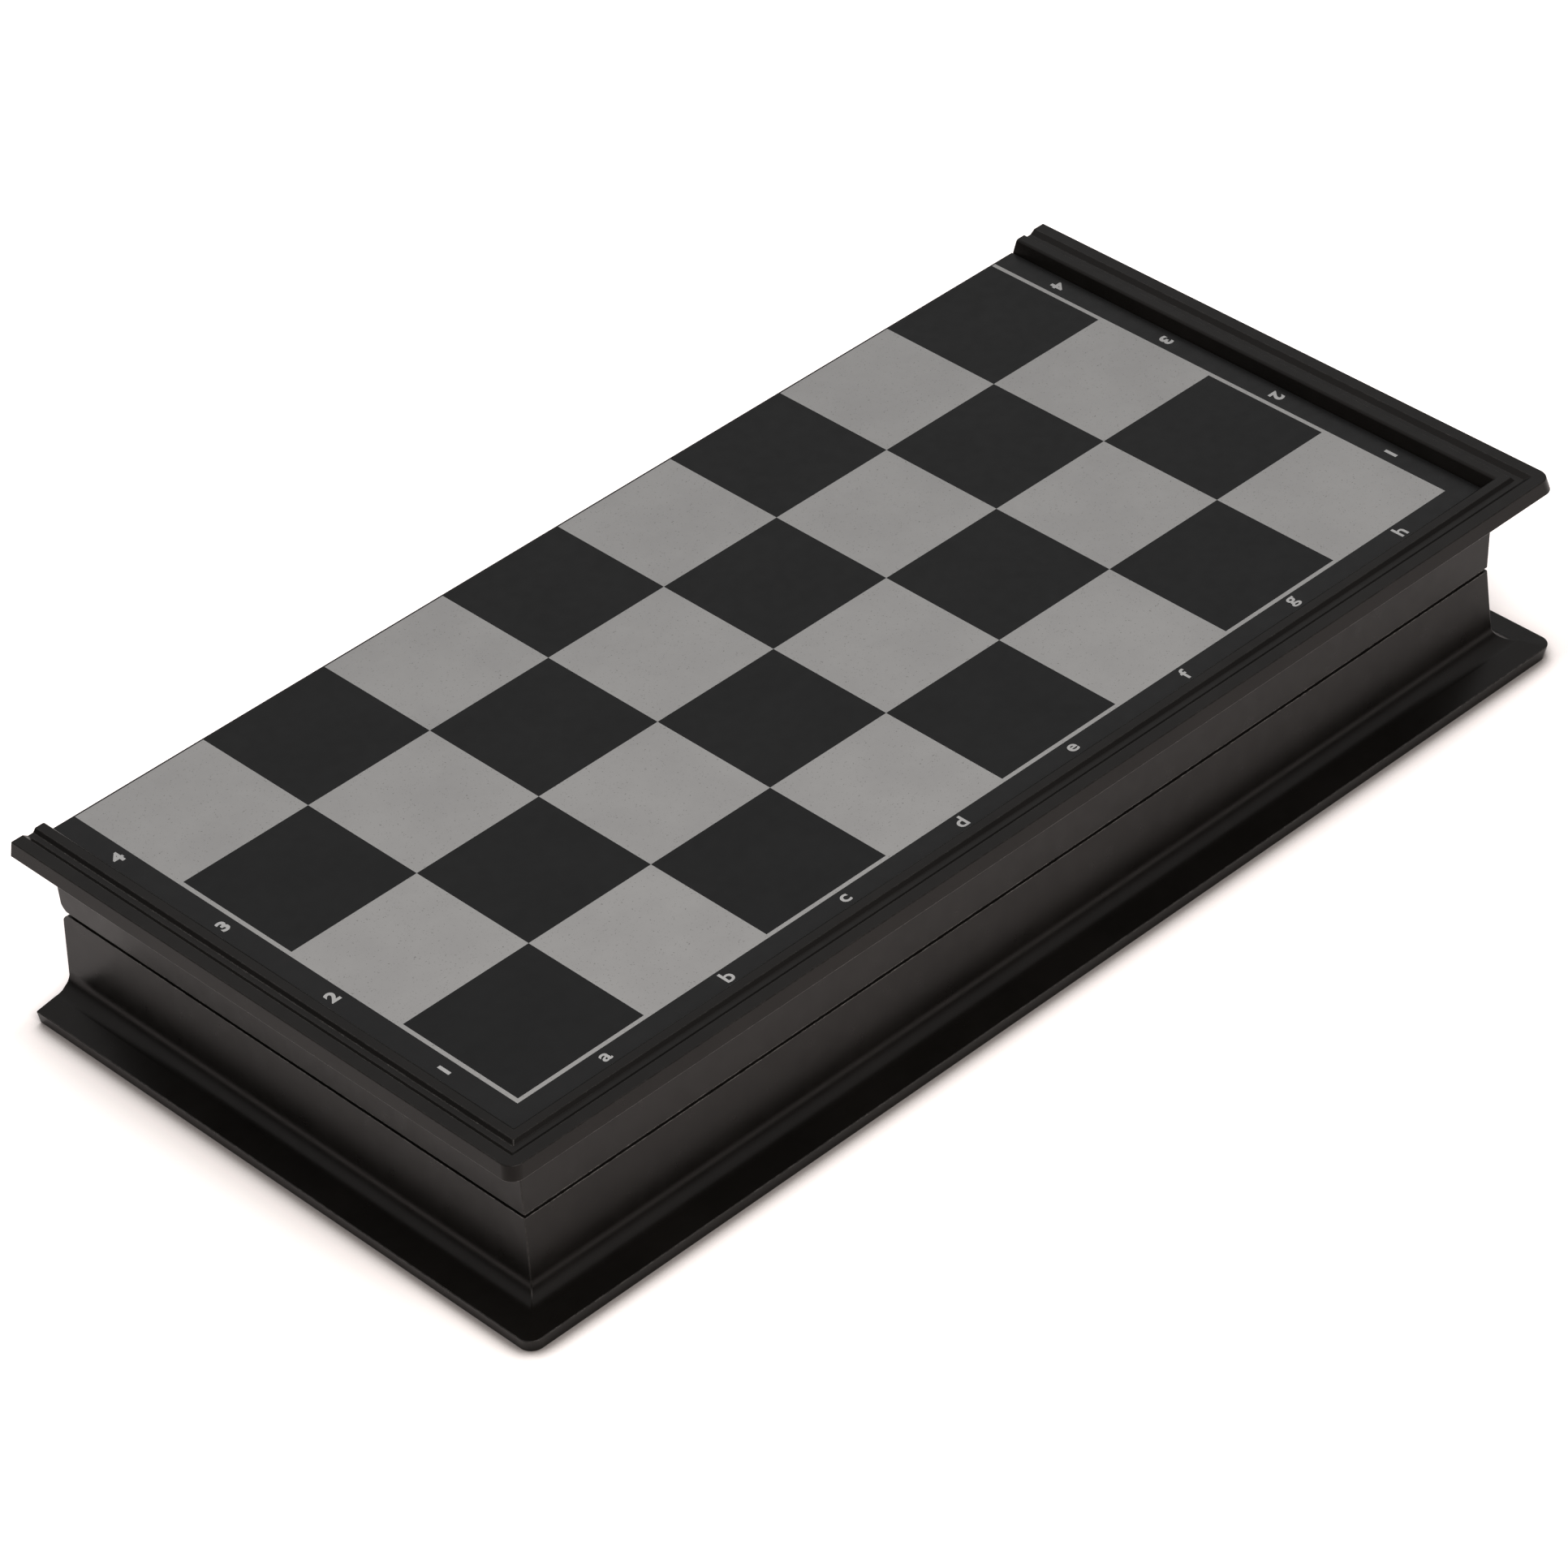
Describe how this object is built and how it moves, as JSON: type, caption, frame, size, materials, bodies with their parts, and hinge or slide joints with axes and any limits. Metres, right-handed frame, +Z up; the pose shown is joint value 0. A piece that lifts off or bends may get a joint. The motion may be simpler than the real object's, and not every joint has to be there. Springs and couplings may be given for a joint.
{
  "type": "folding travel chess set",
  "caption": "Folding magnetic travel chess set, closed: two moulded halves on link hinges, board squares outside, men in foam inserts inside.",
  "frame": {"origin": "middle of the closed case's footprint, on the surface that it stands on", "axes": "+X along the files from a to h, +Y towards the hinge side, +Z up"},
  "size_m": [0.3146, 0.1574, 0.0496],
  "materials": {
    "black_plastic": "moulded satin with a fine grain",
    "board_print": "printed satin film, silver squares on black",
    "sheet_steel": "plain sheet",
    "pin_steel": "bright drawn",
    "magnet_nickel": "nickel plated",
    "black_foam": "closed-cell foam",
    "silver_men": "moulded satin silver",
    "black_men": "moulded satin black",
    "link_plastic": "moulded"
  },
  "bodies": {
    "base": {"lower_case": "black_plastic", "lower_board_film": "board_print", "lower_steel_sheet": "sheet_steel", "lower_foam_insert": "black_foam", "lower_hinge_pin_left": "pin_steel", "lower_hinge_pin_right": "pin_steel", "closing_magnet_left": "magnet_nickel", "closing_magnet_right": "magnet_nickel", "lower_rook_1": "silver_men", "lower_pawn_1": "silver_men", "lower_knight_1": "silver_men", "lower_pawn_2": "silver_men", "lower_bishop_1": "silver_men", "lower_pawn_3": "silver_men", "lower_queen": "silver_men", "lower_pawn_4": "silver_men", "lower_king": "silver_men", "lower_pawn_5": "silver_men", "lower_bishop_2": "silver_men", "lower_pawn_6": "silver_men", "lower_knight_2": "silver_men", "lower_pawn_7": "silver_men", "lower_rook_2": "silver_men", "lower_pawn_8": "silver_men"},
    "hinge_links": {"hinge_link_left": "link_plastic", "hinge_link_right": "link_plastic"},
    "lid": {"upper_case": "black_plastic", "upper_board_film": "board_print", "upper_steel_sheet": "sheet_steel", "upper_foam_insert": "black_foam", "upper_hinge_pin_left": "pin_steel", "upper_hinge_pin_right": "pin_steel", "striker_disc_left": "pin_steel", "striker_disc_right": "pin_steel", "upper_rook_1": "black_men", "upper_pawn_1": "black_men", "upper_knight_1": "black_men", "upper_pawn_2": "black_men", "upper_bishop_1": "black_men", "upper_pawn_3": "black_men", "upper_queen": "black_men", "upper_pawn_4": "black_men", "upper_king": "black_men", "upper_pawn_5": "black_men", "upper_bishop_2": "black_men", "upper_pawn_6": "black_men", "upper_knight_2": "black_men", "upper_pawn_7": "black_men", "upper_rook_2": "black_men", "upper_pawn_8": "black_men"}
  },
  "joints": [
    {"name": "link_pivot", "type": "hinge", "parent": "base", "child": "hinge_links", "pos_m": [0, 0.07575, 0.02162], "axis": [-1, 0, 0], "range_deg": [0, 90]},
    {"name": "lid_pivot", "type": "hinge", "parent": "hinge_links", "child": "lid", "pos_m": [0, 0.07575, 0.02802], "axis": [-1, 0, 0], "range_deg": [0, 90]}
  ],
  "couplings": [
    {"joint": "link_pivot", "follows": "lid_pivot", "ratio": 1}
  ]
}
